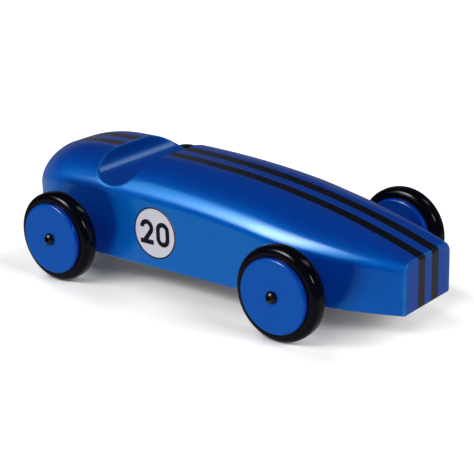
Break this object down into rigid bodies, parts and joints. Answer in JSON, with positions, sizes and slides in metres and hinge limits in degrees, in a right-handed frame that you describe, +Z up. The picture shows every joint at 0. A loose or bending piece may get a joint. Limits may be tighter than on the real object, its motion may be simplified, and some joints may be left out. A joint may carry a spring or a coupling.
{
  "type": "wooden toy racing car",
  "caption": "Solid wooden racing car ornament with a tapered hood, round tail, cross-cut cockpit groove and free-rolling rubber-ringed disc wheels.",
  "frame": {"origin": "on the ground, at the centre of the car's plan outline", "axes": "+X towards the nose, +Y to the car's left, +Z up"},
  "size_m": [0.3854, 0.2006, 0.1009],
  "materials": {
    "body_lacquer": "satin metallic blue lacquer over solid wood, with two black racing stripes",
    "hub_lacquer": "gloss blue lacquer over turned wood",
    "tyre_rubber": "glossy moulded rubber",
    "axle_steel": "drawn bright steel",
    "washer_steel": "zinc plated",
    "sleeve_brass": "turned",
    "screw_black": "black oxide",
    "roundel_white": "satin white foil",
    "number_print": "black print"
  },
  "bodies": {
    "chassis": {"body": "body_lacquer", "front_axle": "axle_steel", "rear_axle": "axle_steel", "front_left_sleeve": "sleeve_brass", "front_left_washer": "washer_steel", "front_left_screw": "screw_black", "front_right_sleeve": "sleeve_brass", "front_right_washer": "washer_steel", "front_right_screw": "screw_black", "rear_left_sleeve": "sleeve_brass", "rear_left_washer": "washer_steel", "rear_left_screw": "screw_black", "rear_right_sleeve": "sleeve_brass", "rear_right_washer": "washer_steel", "rear_right_screw": "screw_black", "left_roundel": "roundel_white", "left_number": "number_print", "right_roundel": "roundel_white", "right_number": "number_print"},
    "front_left_wheel": {"front_left_tyre": "tyre_rubber", "front_left_hub": "hub_lacquer"},
    "front_right_wheel": {"front_right_tyre": "tyre_rubber", "front_right_hub": "hub_lacquer"},
    "rear_left_wheel": {"rear_left_tyre": "tyre_rubber", "rear_left_hub": "hub_lacquer"},
    "rear_right_wheel": {"rear_right_tyre": "tyre_rubber", "rear_right_hub": "hub_lacquer"}
  },
  "joints": [
    {"name": "front_left_roll", "type": "hinge", "parent": "chassis", "child": "front_left_wheel", "pos_m": [0.1166, 0.08535, 0.038], "axis": [0, 1, 0], "continuous": true},
    {"name": "front_right_roll", "type": "hinge", "parent": "chassis", "child": "front_right_wheel", "pos_m": [0.1166, -0.08535, 0.038], "axis": [0, 1, 0], "continuous": true},
    {"name": "rear_left_roll", "type": "hinge", "parent": "chassis", "child": "rear_left_wheel", "pos_m": [-0.1134, 0.08535, 0.038], "axis": [0, 1, 0], "continuous": true},
    {"name": "rear_right_roll", "type": "hinge", "parent": "chassis", "child": "rear_right_wheel", "pos_m": [-0.1134, -0.08535, 0.038], "axis": [0, 1, 0], "continuous": true}
  ]
}
